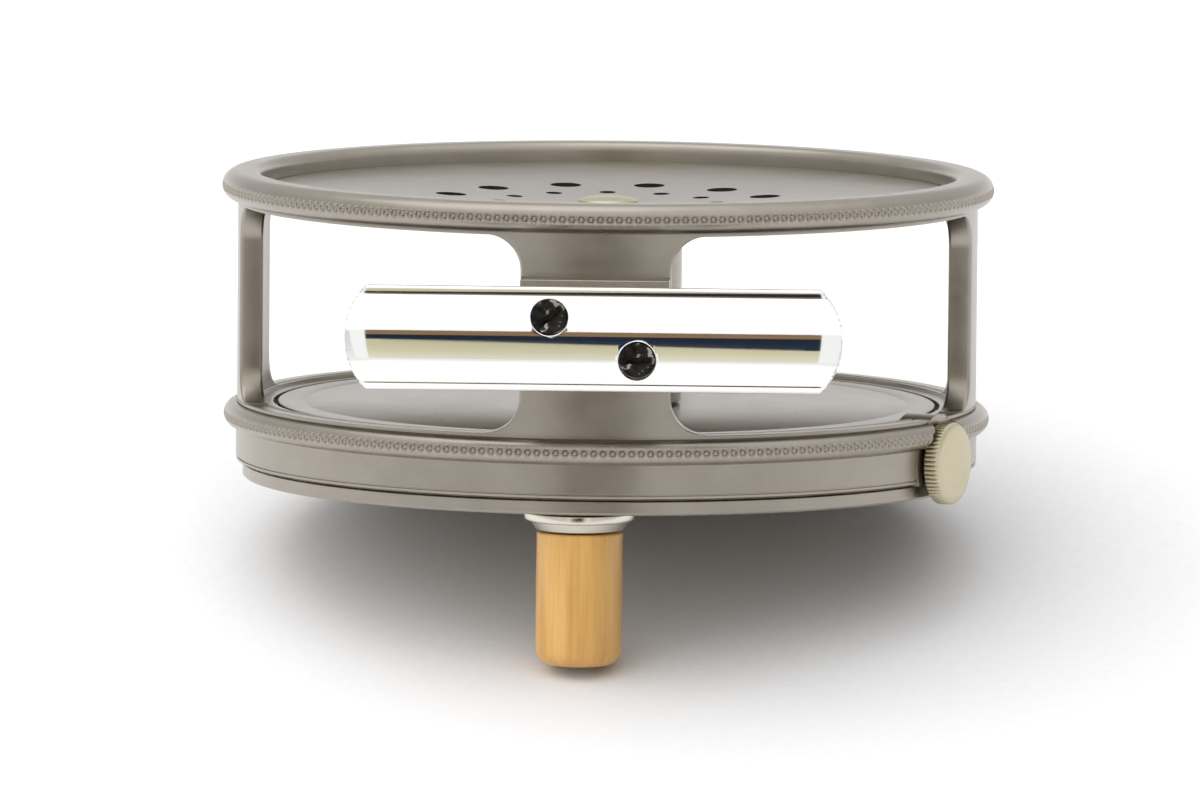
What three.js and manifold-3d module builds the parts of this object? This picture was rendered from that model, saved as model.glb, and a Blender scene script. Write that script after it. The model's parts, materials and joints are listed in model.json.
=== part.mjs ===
// A wide-drum fly fishing reel with a 4 inch beaded frame, rim foot, turned handle and a click check.
// Millimetres. Origin: centre of the winding plate's outer face, on the spindle axis. +Z runs along the
// spindle to the perforated rear side, and the foot faces -Y.
import * as THREE from "three";
import { mergeVertices } from "three/addons/utils/BufferGeometryUtils.js";
import Module from "manifold-3d";

const wasm = await Module();
wasm.setup();

// ---- Driving dimensions ----
const RIM_R = (4 * 25.4) / 2; // outside of the rear rim
const FIT = 0.3; // clearance between neighbouring pieces
const PLATE_R = 47.9; // winding plate
const PLATE_T = 1.65;
const BAND_R = 48.8; // plain band of the front housing
const BAND_FOOT = 2.85; // where the band's lower chamfer ends
const FRONT_BEAD_Z = 8.3;
const FRONT_BEAD_R = 1.62; // half-round section of the front bead
const SILL_Z = 10.4; // top of the front housing, at the foot of the cage wall
const SILL_IN = 45.6;
const SILL_CHAMFER = 0.3;
const LEDGE_Z = 9.95; // lower ledge between the sill and the front flange
const WALL_IN = 45.7; // cage wall that bridge and pillars are cut from
const WALL_OUT = 48.7;
const REAR_RIM_Z = 38.27; // centre of the rear rim's half-round
const REAR_RIM_R = 2.15;
const HOUSING_BORE = 43.9; // bore that the front flange runs in
const HOUSING_RECESS = 44.5; // bore of the check housing
const WEB_Z = [7.2, 8.5]; // bearing web between the check housing and the drum
const BOSS_R = 8.6;
const BOSS_FOOT = 3.2;
const BUSH_R = 4.85;
const SPINDLE_R = 3;
const BRIDGE_HALF = 11.5; // degrees either side of the foot
const PILLAR_HALF = 10; // degrees either side of each side pillar
const BACK_PILLAR_HALF = 9;
const WINDOW_CORNER = 4.6;
const FOOT_Z = 23.7; // height of the foot's centre line
const FOOT_LENGTH = 64;
const FOOT_HALF_WIDTH = 6.8;
const TROUGH_R = 10; // hollow of the foot's face
const FOOT_LIP = 0.5; // flat along each edge of the hollow
const FOOT_LIP_Y = 57.55; // distance of the lips from the spindle
const FOOT_T = 2;
const FOOT_SCREW = [5.65, 2.75]; // each screw's place either side of the foot's centre
const FOOT_SCREW_R = 1.3;
const SCREW_HEAD_R = 2.25;
const SCREW_HEAD_Y = -55.85;
const SCREW_HEAD_T = 1.6;
const SCREW_END = 48.9; // distance of the screws' tips from the spindle
const SEAT_Y = 52.2; // face of the saddle on the bridge
const PAD_HALF_WIDTH = 4.2;
const SADDLE_Z = [-6, 7.2]; // bottom and top of the saddle, from the foot's centre line
const SADDLE_HALF = 9.6;
const PAD_HALF = [11.5, 17]; // half length of the foot's pad, at the saddle and inside the foot
const DRUM_R = [43.3, 45.4]; // front and rear flange
const DRUM_Z = [8.83, 9.93, 37.9]; // front flange faces, and the rear flange's outer face at its rim
const FLANGE_T = 1.1;
const DISH = 2; // how far the rear flange sinks towards the spindle
const LARGE_HOLES = { count: 12, radius: 2.05, circle: 21.45, first: 17.1 }; // first: degrees from +X
const SMALL_HOLES = { count: 12, radius: 1.1, circle: 14.2, first: 2.2 };
const CAP_R = 3.9;
const ARBOR_R = 9.8;
const LOCK_HEAD_R = 5;
const LOCK_HEAD_T = 1;
const PLATE_HUB_R = 8;
const HANDLE_AT = { radius: 39.5, angle: -93 }; // from the spindle, in degrees
const GRIP_R = 5.62;
const GRIP_Z = [-20.3, -2.9];
const POST_R = 2.2;
const END_SCREW_R = 3.1;
const REGULATOR = { angle: -25, z: 4.6, knobRadius: 5.4, face: 51.1, back: 48.95 };
const STEM_R = 1.5;
const REGULATOR_BOSS_R = 6.3;
const PIVOT_HOLE_R = 1.3;
const PAWL_AT = [25.5, 0]; // pivots of the check, along and across the regulator's direction
const SPRING_AT = [34.2, -13.6];
const WHEEL_R = 20; // check wheel, over its teeth
const WHEEL_TEETH = 40;
const WHEEL_BORE = 16.4;
const WHEEL_T = 2.4;
const RACE_R = [9.6, 14.4]; // inside and outside of both races
const BALL_R = 1.5;
const BALL_COUNT = 10;
const BALL_CIRCLE = 12;
const BALL_Z = 4.3;

// ---- Solids ----
const radians = THREE.MathUtils.degToRad;
const polar = (radius, degrees) => [radius * Math.cos(radians(degrees)), radius * Math.sin(radians(degrees))];
const around = (radius, degrees, z) => new THREE.Vector3(...polar(radius, degrees), z);
const circle = (count, first = 0) => Array.from({ length: count }, (_, i) => first + (360 * i) / count);

// A closed three.js geometry as a solid, facing out.
function solid(geometry) {
  const bare = geometry.clone();
  bare.deleteAttribute("normal");
  bare.deleteAttribute("uv");
  const merged = mergeVertices(bare, 1e-4);
  const corner = (i) => new THREE.Vector3().fromArray(merged.attributes.position.array, 3 * i);
  const faces = [];
  let volume = 0;
  for (let i = 0; i < merged.index.count; i += 3) {
    const [a, b, c] = [0, 1, 2].map((k) => merged.index.getX(i + k));
    if (a === b || b === c || c === a) continue;
    faces.push([a, b, c]);
    volume += corner(a).dot(corner(b).cross(corner(c)));
  }
  const outward = volume > 0 ? faces : faces.map(([a, b, c]) => [a, c, b]);
  return new wasm.Manifold(new wasm.Mesh({
    numProp: 3,
    vertProperties: Float32Array.from(merged.attributes.position.array),
    triVerts: Uint32Array.from(outward.flat()),
  }));
}

const join = (first, ...others) => others.reduce((whole, other) => whole.add(other), first);
const cut = (first, ...others) => others.reduce((whole, other) => whole.subtract(other), first);

function geometryOf(body) {
  const { vertProperties, triVerts } = body.getMesh();
  const geometry = new THREE.BufferGeometry();
  geometry.setAttribute("position", new THREE.BufferAttribute(vertProperties, 3));
  geometry.setIndex(new THREE.BufferAttribute(triVerts, 1));
  return geometry;
}

// Turned about Z from an outline of [radius, z] points, which closes on itself or on the axis.
function turned(outline, segments = 48) {
  const onAxis = outline[0][0] === 0 && outline.at(-1)[0] === 0;
  const points = (onAxis ? outline : [...outline, outline[0]]).map(([r, z]) => new THREE.Vector2(r, z));
  return solid(new THREE.LatheGeometry(points, segments).rotateX(Math.PI / 2));
}

const ring = (inner, outer, low, high, segments) =>
  turned([[inner, low], [outer, low], [outer, high], [inner, high]], segments);

// A round bar, or the hole for one, between two points.
function bar(radius, from, to, segments = 20) {
  const run = to.clone().sub(from);
  const geometry = new THREE.CylinderGeometry(radius, radius, run.length(), segments);
  geometry.applyQuaternion(new THREE.Quaternion().setFromUnitVectors(
    new THREE.Vector3(0, 1, 0), run.normalize(),
  ));
  return solid(geometry.translate(...from.clone().add(to).multiplyScalar(0.5)));
}

const upright = (radius, [x, y], low, high, segments) =>
  bar(radius, new THREE.Vector3(x, y, low), new THREE.Vector3(x, y, high), segments);

const crosswise = (radius, [x, z], nearY, farY, segments) =>
  bar(radius, new THREE.Vector3(x, nearY, z), new THREE.Vector3(x, farY, z), segments);

function block([x0, x1], [y0, y1], [z0, z1]) {
  const geometry = new THREE.BoxGeometry(x1 - x0, y1 - y0, z1 - z0);
  return solid(geometry.translate((x0 + x1) / 2, (y0 + y1) / 2, (z0 + z1) / 2));
}

// A flat outline carried along one axis from low to high: [x, y] points along Z, [y, z] along X
// or [x, z] along Y.
function prism(outline, axis, low, high) {
  const shape = new THREE.Shape(outline.map(([a, b]) => new THREE.Vector2(a, b)));
  const geometry = new THREE.ExtrudeGeometry(shape, { depth: high - low, bevelEnabled: false });
  if (axis === "x") geometry.rotateX(Math.PI / 2).rotateZ(Math.PI / 2).translate(low, 0, 0);
  if (axis === "y") geometry.rotateX(Math.PI / 2).translate(0, high, 0);
  if (axis === "z") geometry.translate(0, 0, low);
  return solid(geometry);
}

// Points of an arc about a centre, angles in degrees.
function arc([cx, cy], radius, from, to, steps) {
  return Array.from({ length: steps + 1 }, (_, i) => {
    const [dx, dy] = polar(radius, from + ((to - from) * i) / steps);
    return [cx + dx, cy + dy];
  });
}

// ---- Frame: front housing, bridge, pillars and rear rim in one casting ----
const rearRimFoot = REAR_RIM_Z - REAR_RIM_R;
const footScrews = [[-FOOT_SCREW[0], FOOT_Z + FOOT_SCREW[1]], [FOOT_SCREW[0], FOOT_Z - FOOT_SCREW[1]]];

function frontHousing() {
  return turned([
    [BUSH_R + FIT, BOSS_FOOT],
    [BOSS_R, BOSS_FOOT],
    [BOSS_R, WEB_Z[0]],
    [HOUSING_RECESS, WEB_Z[0]],
    [HOUSING_RECESS, PLATE_T + FIT],
    [PLATE_R, PLATE_T + FIT],
    [BAND_R, BAND_FOOT],
    ...arc([BAND_R, FRONT_BEAD_Z], FRONT_BEAD_R, -90, 90, 4),
    [BAND_R, SILL_Z - SILL_CHAMFER],
    [BAND_R - SILL_CHAMFER, SILL_Z],
    [SILL_IN, SILL_Z],
    [SILL_IN, LEDGE_Z],
    [HOUSING_BORE, LEDGE_Z],
    [HOUSING_BORE, WEB_Z[1]],
    [BUSH_R + FIT, WEB_Z[1]],
  ]);
}

function rearRim() {
  const lip = 1.2; // rounding of the rim's inner edge
  return turned([
    [WALL_IN, rearRimFoot],
    ...arc([RIM_R - REAR_RIM_R, REAR_RIM_Z], REAR_RIM_R, -90, 90, 6),
    ...arc([WALL_IN + lip, REAR_RIM_Z + REAR_RIM_R - lip], lip, 90, 180, 2),
  ]);
}

// An opening of the cage wall between two supports, with rounded corners: a box bent round the spindle.
function cageWindow(fromDegrees, toDegrees) {
  const half = (radians(toDegrees - fromDegrees) * WALL_OUT) / 2;
  const inner = half - WINDOW_CORNER;
  const rounded = arc([inner, WINDOW_CORNER], WINDOW_CORNER, 0, -90, 4);
  const stations = [
    ...rounded.map(([along, inset]) => [-along, inset]),
    ...Array.from({ length: 9 }, (_, i) => [inner * ((i + 1) / 5 - 1), 0]),
    ...rounded.toReversed(),
  ];
  const columns = stations.length - 1;
  const geometry = new THREE.BoxGeometry(columns, 8, 2, columns, 1, 1);
  const position = geometry.attributes.position;
  for (let i = 0; i < position.count; i++) {
    const [along, inset] = stations[Math.round(position.getX(i) + columns / 2)];
    const degrees = (fromDegrees + toDegrees) / 2 + THREE.MathUtils.radToDeg(along / WALL_OUT);
    const [x, y] = polar((WALL_IN + WALL_OUT) / 2 + position.getY(i), degrees);
    position.setXYZ(i, x, y, position.getZ(i) > 0 ? rearRimFoot - inset : SILL_Z + inset);
  }
  return solid(geometry);
}

function saddle() {
  const [bottom, top] = SADDLE_Z;
  return block([-SADDLE_HALF, SADDLE_HALF], [-SEAT_Y, -WALL_IN - 0.8], [FOOT_Z + bottom, FOOT_Z + top]);
}

function regulatorBoss() {
  const boss = bar(REGULATOR_BOSS_R, onRegulator(HOUSING_BORE + 0.4), onRegulator(REGULATOR.back - 0.35), 32);
  return cut(boss, block([20, 60], [-50, 0], [-10, PLATE_T + FIT]));
}

const onRegulator = (radius) => around(radius, REGULATOR.angle, REGULATOR.z);
const atRegulator = ([along, across]) => {
  const [x, y] = polar(along, REGULATOR.angle);
  const [dx, dy] = polar(across, REGULATOR.angle + 90);
  return [x + dx, y + dy];
};

function frame() {
  const supports = [
    [-90, BRIDGE_HALF],
    [0, PILLAR_HALF],
    [90, BACK_PILLAR_HALF],
    [180, PILLAR_HALF],
  ];
  const windows = supports.map(([angle, half], i) => {
    const [nextAngle, nextHalf] = supports[(i + 1) % supports.length];
    return cageWindow(angle + half, (nextAngle < angle ? nextAngle + 360 : nextAngle) - nextHalf);
  });
  const wall = ring(WALL_IN, WALL_OUT, SILL_Z - 0.5, rearRimFoot + 0.5);
  const threaded = footScrews.map((at) => crosswise(FOOT_SCREW_R + FIT, at, -SEAT_Y - 1, FIT - SCREW_END));
  const pivots = [PAWL_AT, SPRING_AT].map((at) =>
    upright(PIVOT_HOLE_R, atRegulator(at), WEB_Z[0] - 1, WEB_Z[1] - 0.5));
  return cut(
    join(frontHousing(), cut(wall, ...windows), rearRim(), saddle(), regulatorBoss()),
    ...threaded,
    ...pivots,
    bar(REGULATOR.knobRadius + 0.7, onRegulator(REGULATOR.back - 0.3), onRegulator(RIM_R + 2), 32),
    bar(STEM_R + FIT, onRegulator(HOUSING_BORE - 2), onRegulator(RIM_R)),
  );
}

// ---- Rod foot ----
function foot() {
  const troughY = -FOOT_LIP_Y - Math.sqrt(TROUGH_R ** 2 - (FOOT_HALF_WIDTH - FOOT_LIP) ** 2);
  const backR = TROUGH_R + FOOT_T;
  const lipAngle = THREE.MathUtils.radToDeg(Math.asin((FOOT_HALF_WIDTH - FOOT_LIP) / TROUGH_R));
  const backAngle = THREE.MathUtils.radToDeg(Math.asin(FOOT_HALF_WIDTH / backR));
  const leaf = prism([
    [-FOOT_LIP_Y, FOOT_Z + FOOT_HALF_WIDTH],
    ...arc([troughY, FOOT_Z], TROUGH_R, lipAngle, -lipAngle, 10),
    [-FOOT_LIP_Y, FOOT_Z - FOOT_HALF_WIDTH],
    ...arc([troughY, FOOT_Z], backR, -backAngle, backAngle, 8),
  ], "x", -FOOT_LENGTH / 2, FOOT_LENGTH / 2);
  const endR = 9.2; // rounding of each end, seen from the front
  const endAngle = THREE.MathUtils.radToDeg(Math.asin(FOOT_HALF_WIDTH / endR));
  const plan = prism([
    ...arc([FOOT_LENGTH / 2 - endR, FOOT_Z], endR, -endAngle, endAngle, 8),
    ...arc([endR - FOOT_LENGTH / 2, FOOT_Z], endR, 180 - endAngle, 180 + endAngle, 8),
  ], "y", -FOOT_LIP_Y - 1, -SEAT_Y);
  const back = -SEAT_Y - FIT;
  const inLeaf = back - 1.8;
  const pad = prism([
    [-PAD_HALF[1], inLeaf], [PAD_HALF[1], inLeaf], [PAD_HALF[0], back], [-PAD_HALF[0], back],
  ], "z", FOOT_Z - PAD_HALF_WIDTH, FOOT_Z + PAD_HALF_WIDTH);
  const holes = footScrews.flatMap((at) => [
    crosswise(FOOT_SCREW_R + FIT, at, -FOOT_LIP_Y - 1, -SEAT_Y),
    crosswise(SCREW_HEAD_R + FIT, at, -FOOT_LIP_Y - 1, SCREW_HEAD_Y + SCREW_HEAD_T + FIT),
  ]);
  return cut(join(leaf.intersect(plan), pad), ...holes);
}

function footScrew(at, slotDegrees) {
  const [x, z] = at;
  const head = crosswise(SCREW_HEAD_R, at, SCREW_HEAD_Y, SCREW_HEAD_Y + SCREW_HEAD_T);
  const shank = crosswise(FOOT_SCREW_R, at, SCREW_HEAD_Y + 1, -SCREW_END, 16);
  const slot = new THREE.BoxGeometry(6, 1.2, 0.8).rotateY(radians(-slotDegrees));
  return cut(join(head, shank), solid(slot.translate(x, SCREW_HEAD_Y, z)));
}

// ---- Check: regulator, slide, spring, pawl and wheel, in the regulator's own direction along X ----
function regulatorKnob() {
  const teeth = 56;
  const depth = 0.25;
  const outline = circle(2 * teeth).map((degrees, i) => polar(REGULATOR.knobRadius - (i % 2) * depth, degrees));
  return prism(outline.map(([y, z]) => [y, REGULATOR.z + z]), "x", REGULATOR.back, REGULATOR.face);
}

const alongRegulator = (radius, from, to, segments) =>
  bar(radius, new THREE.Vector3(from, 0, REGULATOR.z), new THREE.Vector3(to, 0, REGULATOR.z), segments);

function springSlide() {
  const body = block([35.2, 41.2], [-4, 4], [2.4, WEB_Z[0] - FIT]);
  const nose = block([31.4, 35.3], [-1.2, 1.2], [3.2, 6]);
  return cut(join(body, nose), alongRegulator(STEM_R + FIT, 35.4, 42));
}

function checkSpring() {
  const thickness = 0.6;
  const curve = new THREE.SplineCurve(
    [[34.2, -12.6], [31.8, -7], [29.4, -1.6], [29.3, 2.5], [30.4, 4.6]].map((p) => new THREE.Vector2(...p)),
  );
  const steps = 12;
  const edge = (side) => Array.from({ length: steps + 1 }, (_, i) => {
    const point = curve.getPoint(i / steps);
    const tangent = curve.getTangent(i / steps);
    return [point.x - side * tangent.y, point.y + side * tangent.x];
  });
  const [low, high] = [4.2, WEB_Z[0] - FIT];
  const leaf = prism([...edge(-thickness / 2), ...edge(thickness / 2).toReversed()], "z", low, high);
  return cut(join(leaf, upright(2.1, SPRING_AT, low, high)), upright(PIVOT_HOLE_R, SPRING_AT, low - 1, high + 1));
}

function checkPawl() {
  const [pivot] = PAWL_AT;
  const tip = WHEEL_R + 0.4;
  const back = pivot + 2.7;
  const outline = [[tip, -0.3], [pivot - 1.3, -2.4], [back, -2.4], [back, 2.4], [pivot - 1.3, 2.4], [tip, 0.3]];
  return cut(prism(outline, "z", 2.6, WEB_Z[0] - FIT), upright(PIVOT_HOLE_R, PAWL_AT, 0, 10));
}

const shoulderScrew = (at, headLow) =>
  join(upright(1.9, at, headLow, headLow + 0.35), upright(1, at, headLow + 0.2, WEB_Z[1] - 0.8, 16));

function checkWheel() {
  const tooth = 1.4;
  const outline = circle(2 * WHEEL_TEETH).map((degrees, i) => polar(WHEEL_R - (i % 2) * tooth, degrees));
  const low = PLATE_T + FIT;
  return cut(prism(outline, "z", low, low + WHEEL_T), upright(WHEEL_BORE, [0, 0], 0, 10, 40));
}

// ---- Ball race ----
const ballCentres = circle(BALL_COUNT).map((degrees) => polar(BALL_CIRCLE, degrees));

function ballRetainer() {
  const pockets = ballCentres.map((at) => upright(BALL_R + FIT, at, 0, 10, 12));
  return cut(ring(9.4, 14.6, BALL_Z - 0.4, BALL_Z + 0.4, 40), ...pockets);
}

const ball = ([x, y]) => solid(new THREE.SphereGeometry(BALL_R, 8, 5).rotateX(Math.PI / 2).translate(x, y, BALL_Z));

// ---- Drum and winding plate ----
const handleAt = polar(HANDLE_AT.radius, HANDLE_AT.angle);
const bore = SPINDLE_R + FIT;

function windingPlate() {
  const disc = turned([
    [bore, LOCK_HEAD_T + FIT],
    [LOCK_HEAD_R + FIT, LOCK_HEAD_T + FIT],
    [LOCK_HEAD_R + FIT, 0],
    [PLATE_R - 0.3, 0],
    [PLATE_R, 0.3],
    [PLATE_R, PLATE_T],
    [PLATE_HUB_R, PLATE_T],
    [PLATE_HUB_R, BOSS_FOOT - FIT],
    [bore, BOSS_FOOT - FIT],
  ]);
  return cut(disc, upright(POST_R + FIT, handleAt, -1, PLATE_T + 1));
}

function plateLockScrew() {
  const spannerHoles = [0, 180].map((degrees) => upright(0.6, polar(3.4, degrees), -1, 0.6, 12));
  return cut(join(upright(LOCK_HEAD_R, [0, 0], 0, LOCK_HEAD_T, 32), upright(1.6, [0, 0], 0.5, 6, 16)), ...spannerHoles);
}

const spindleTop = DRUM_Z[2] - DISH;

function spindle() {
  const foot = LOCK_HEAD_T + FIT;
  return turned([[0, 6.4], [1.9, 6.4], [1.9, foot], [SPINDLE_R, foot], [SPINDLE_R, spindleTop], [0, spindleTop]], 32);
}

function rearFlange() {
  const [, radius] = DRUM_R;
  const lip = radius - 2;
  const top = DRUM_Z[2];
  const disc = turned([
    [bore, top - DISH - FLANGE_T],
    [lip, top - FLANGE_T],
    [radius, top - FLANGE_T],
    [radius, top],
    [lip, top],
    [bore, top - DISH],
  ]);
  const holes = [LARGE_HOLES, SMALL_HOLES].flatMap((row) =>
    circle(row.count, row.first).map((degrees) => upright(row.radius, polar(row.circle, degrees), 30, 40, 12)));
  return cut(disc, ...holes);
}

const spindleCap = () => turned([
  [0, spindleTop + 0.35],
  [CAP_R, spindleTop + 0.35],
  [CAP_R, spindleTop + 0.65],
  [CAP_R - 1.2, spindleTop + 1.1],
  [0, spindleTop + 1.35],
], 32);

// ---- Handle, turned about its own post ----
const handleFerrule = () => turned([
  [POST_R + FIT, -FIT],
  [7.3, -FIT],
  [7.3, -1.2],
  [7, -1.45],
  [6.45, -1.5],
  [5.7, GRIP_Z[1] + FIT],
  [POST_R + FIT, GRIP_Z[1] + FIT],
], 24);

const postFoot = GRIP_Z[0] + 1.7;

const handlePost = () => turned([
  [0, PLATE_T - FIT],
  [POST_R, PLATE_T - FIT],
  [POST_R, postFoot],
  [1.3, postFoot],
  [1.3, postFoot + 5],
  [0, postFoot + 5],
], 24);

const handleEndScrew = () =>
  join(
    upright(END_SCREW_R, [0, 0], postFoot - 1.3, postFoot - FIT),
    upright(1, [0, 0], postFoot - 1, postFoot + 4.4, 16),
  );

const handleGrip = () => turned([
  [POST_R + FIT, GRIP_Z[1]],
  [GRIP_R, GRIP_Z[1]],
  ...arc([GRIP_R - 2, GRIP_Z[0] + 2], 2, 0, -90, 3),
  [END_SCREW_R + FIT, GRIP_Z[0]],
  [END_SCREW_R + FIT, postFoot],
  [POST_R + FIT, postFoot],
], 24);

// ---- Materials ----
const material = (color, roughness, metalness) => new THREE.MeshStandardMaterial({ color, roughness, metalness });
const anodised = material(0x968f84, 0.45, 0.9);
const polished = material(0xe2e4e6, 0.08, 1);
const nickelSilver = material(0xbdb491, 0.35, 1);
const blued = material(0x1b1b1e, 0.3, 1);
const steel = material(0xa8abb0, 0.25, 1);
const bronze = material(0x9a7446, 0.4, 1);
const amber = material(0xddb065, 0.4, 0);

// ---- Assembly ----
function named(name, body, finish) {
  const mesh = new THREE.Mesh(geometryOf(body), finish);
  mesh.name = name;
  return mesh;
}

const reel = new THREE.Group();
reel.add(
  named("frame", frame(), anodised),
  named("spindle_bush", ring(bore, BUSH_R, BOSS_FOOT + FIT, WEB_Z[1], 32), bronze),
  named("upper_race", ring(...RACE_R, BALL_Z + BALL_R + FIT, WEB_Z[0] - FIT, 36), steel),
  named("foot", foot(), polished),
  named("foot_screw_left", footScrew(footScrews[0], 40), blued),
  named("foot_screw_right", footScrew(footScrews[1], 3), blued),
);

const check = new THREE.Group();
check.rotation.z = radians(REGULATOR.angle);
check.add(
  named("regulator_knob", regulatorKnob(), nickelSilver),
  named("regulator_screw", alongRegulator(STEM_R, 37.2, REGULATOR.back - FIT), steel),
  named("spring_slide", springSlide(), bronze),
  named("check_spring", checkSpring(), steel),
  named("spring_screw", shoulderScrew(SPRING_AT, 3.5), steel),
  named("check_pawl", checkPawl(), steel),
  named("pawl_screw", shoulderScrew(PAWL_AT, 1.95), steel),
);

const race = new THREE.Group();
race.add(
  named("ball_retainer", ballRetainer(), bronze),
  ...ballCentres.map((at, i) => named(`ball_${i + 1}`, ball(at), steel)),
);

const drum = new THREE.Group();
drum.add(
  named("lower_race", ring(...RACE_R, PLATE_T + FIT, BALL_Z - BALL_R - FIT, 36), steel),
  named("check_wheel", checkWheel(), steel),
  named("winding_plate", windingPlate(), anodised),
  named("plate_lock_screw", plateLockScrew(), nickelSilver),
  named("spindle", spindle(), steel),
  named("arbor", ring(bore, ARBOR_R, DRUM_Z[1] + FIT, spindleTop - FLANGE_T - FIT, 36), anodised),
  named("front_flange", ring(bore, DRUM_R[0], DRUM_Z[0], DRUM_Z[1]), anodised),
  named("rear_flange", rearFlange(), anodised),
  named("spindle_cap", spindleCap(), nickelSilver),
);

const handle = new THREE.Group();
handle.position.set(...handleAt, 0);
handle.add(
  named("handle_ferrule", handleFerrule(), nickelSilver),
  named("handle_post", handlePost(), steel),
  named("handle_end_screw", handleEndScrew(), nickelSilver),
  named("handle_grip", handleGrip(), amber),
);

reel.add(check, race, drum, handle);

export default reel;
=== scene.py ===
"""A wide-drum fly fishing reel lying face down on a pale table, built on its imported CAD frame.

The reel's sizes are in millimetres until a mesh is made, and the stage's are in metres. The spindle is
the Z axis, the perforated side is up and the rod foot faces -Y.
"""
import json
import math
import bmesh
import bpy
from mathutils import Euler, Matrix, Quaternion, Vector


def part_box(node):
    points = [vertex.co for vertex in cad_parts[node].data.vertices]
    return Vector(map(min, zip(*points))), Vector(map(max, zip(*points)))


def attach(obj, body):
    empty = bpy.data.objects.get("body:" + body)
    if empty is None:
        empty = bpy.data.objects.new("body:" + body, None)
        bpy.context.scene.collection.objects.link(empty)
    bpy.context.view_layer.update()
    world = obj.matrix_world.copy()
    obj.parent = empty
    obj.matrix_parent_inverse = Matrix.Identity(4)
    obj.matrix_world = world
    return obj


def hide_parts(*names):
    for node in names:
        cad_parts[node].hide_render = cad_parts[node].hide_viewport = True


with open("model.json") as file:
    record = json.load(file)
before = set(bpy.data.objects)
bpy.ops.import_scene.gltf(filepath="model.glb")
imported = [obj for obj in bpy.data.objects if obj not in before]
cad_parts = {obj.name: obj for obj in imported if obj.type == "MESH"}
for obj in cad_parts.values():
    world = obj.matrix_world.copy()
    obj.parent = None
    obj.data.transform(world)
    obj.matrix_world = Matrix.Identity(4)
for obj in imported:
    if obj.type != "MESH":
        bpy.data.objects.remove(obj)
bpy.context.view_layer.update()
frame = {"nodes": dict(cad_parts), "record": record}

MM = 0.001


def node_box(node):
    """Lowest and highest corner of a CAD node, in millimetres."""
    low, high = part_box(node)
    return low / MM, high / MM


def record_joint(name):
    """Place and direction of a joint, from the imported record."""
    for joint in frame["record"]["behaviour"]["joints"]:
        if joint["name"] == name:
            return Vector(joint["pos_m"]) / MM, Vector(joint["axis"]).normalized()
    raise KeyError(name)


# ---- Sizes that the CAD part's boxes give ----
FRAME_LOW, FRAME_HIGH = node_box("frame")
PLATE_HIGH = node_box("winding_plate")[1]
FRONT_FLANGE_LOW, FRONT_FLANGE_HIGH = node_box("front_flange")
REAR_FLANGE_HIGH = node_box("rear_flange")[1]
ARBOR_LOW, ARBOR_HIGH = node_box("arbor")
CAP_LOW, CAP_HIGH = node_box("spindle_cap")
FOOT_LOW, FOOT_HIGH = node_box("foot")
FERRULE_LOW, FERRULE_HIGH = node_box("handle_ferrule")
GRIP_LOW, GRIP_HIGH = node_box("handle_grip")
KNOB_AT, KNOB_AXIS = record_joint("regulator_turn")
HANDLE_AT = record_joint("handle_spin")[0]

RIM_R = FRAME_HIGH.x
REAR_TOP = FRAME_HIGH.z
PLATE_R = PLATE_HIGH.x
FOOT_Z = (FOOT_LOW.z + FOOT_HIGH.z) / 2
KNOB_LEVEL = Vector((0, 0, KNOB_AT.z))  # where the knob's axis crosses the spindle's
FIT = 0.3  # clearance between pieces that touch on the real reel
POST_HOLE_R = 2.5  # in the winding plate, the ferrule and the grip
BORE = 3.3  # in the flanges, the arbor and the winding plate, round the spindle

# ---- Frame casting ----
# The band is the housing's outer side; the sill is its top ring and the ledge a step inside it.
BAND_R = 48.8
BAND_FOOT = 2.85
FRONT_BEAD_Z = 8.3
FRONT_BEAD_R = 1.62
FRONT_BEAD_HALF = 1.6
BAND_GROOVE = 0.22
SILL_Z = 10.4
SILL_IN = 45.6
SILL_EDGE = 0.27
SILL_GROOVE = (46.0, 46.9)
SILL_GROOVE_DEPTH = 0.3
LEDGE_Z = 9.95
WINDOW_FOOT = 10.5
WALL_IN = 45.7
WALL_OUT = 48.7
REAR_FOOT = REAR_TOP - 4.3
REAR_BEAD_Z = 38.485
REAR_BEAD_AXIS = 48.65
REAR_BEAD_R = RIM_R - REAR_BEAD_AXIS
REAR_BEAD_HALF = 1.935
HOUSING_BORE = 43.9
HOUSING_RECESS = 44.5
WEB_Z = (7.2, 8.5)
BOSS_R = 8.6
BOSS_FOOT = 3.2
BUSH_BORE = 5.15
KNOB_BOSS_R = 6.3
KNOB_FLAT_R = 6.1
KNOB_FLAT_AT = 48.62
STEM_HOLE_R = 1.8
WINDOW_CORNER = 4.6
# Half the width of each support between the windows, in degrees round the spindle.
BRIDGE_HALF = 11.5
PILLAR_HALF = 10
BACK_PILLAR_HALF = 9

# ---- Beading: a ring of pearls, each an oval groove round a low crown ----
PEARL_PITCH = 1.226
PEARL_HALF_WIDTH = 0.33
PEARL_HALF_HEIGHT = 0.43
PEARL_GROOVE = 0.24
PEARL_CROWN = 0.01
BEADING_HALF = 0.66
CHANNEL = 0.4

# ---- Rear flange: number of holes, their radius, the circle they lie on and the first one's angle ----
LARGE_HOLES = (12, 2.05, 21.45, 17.1)
SMALL_HOLES = (12, 1.1, 14.2, 2.2)

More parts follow.
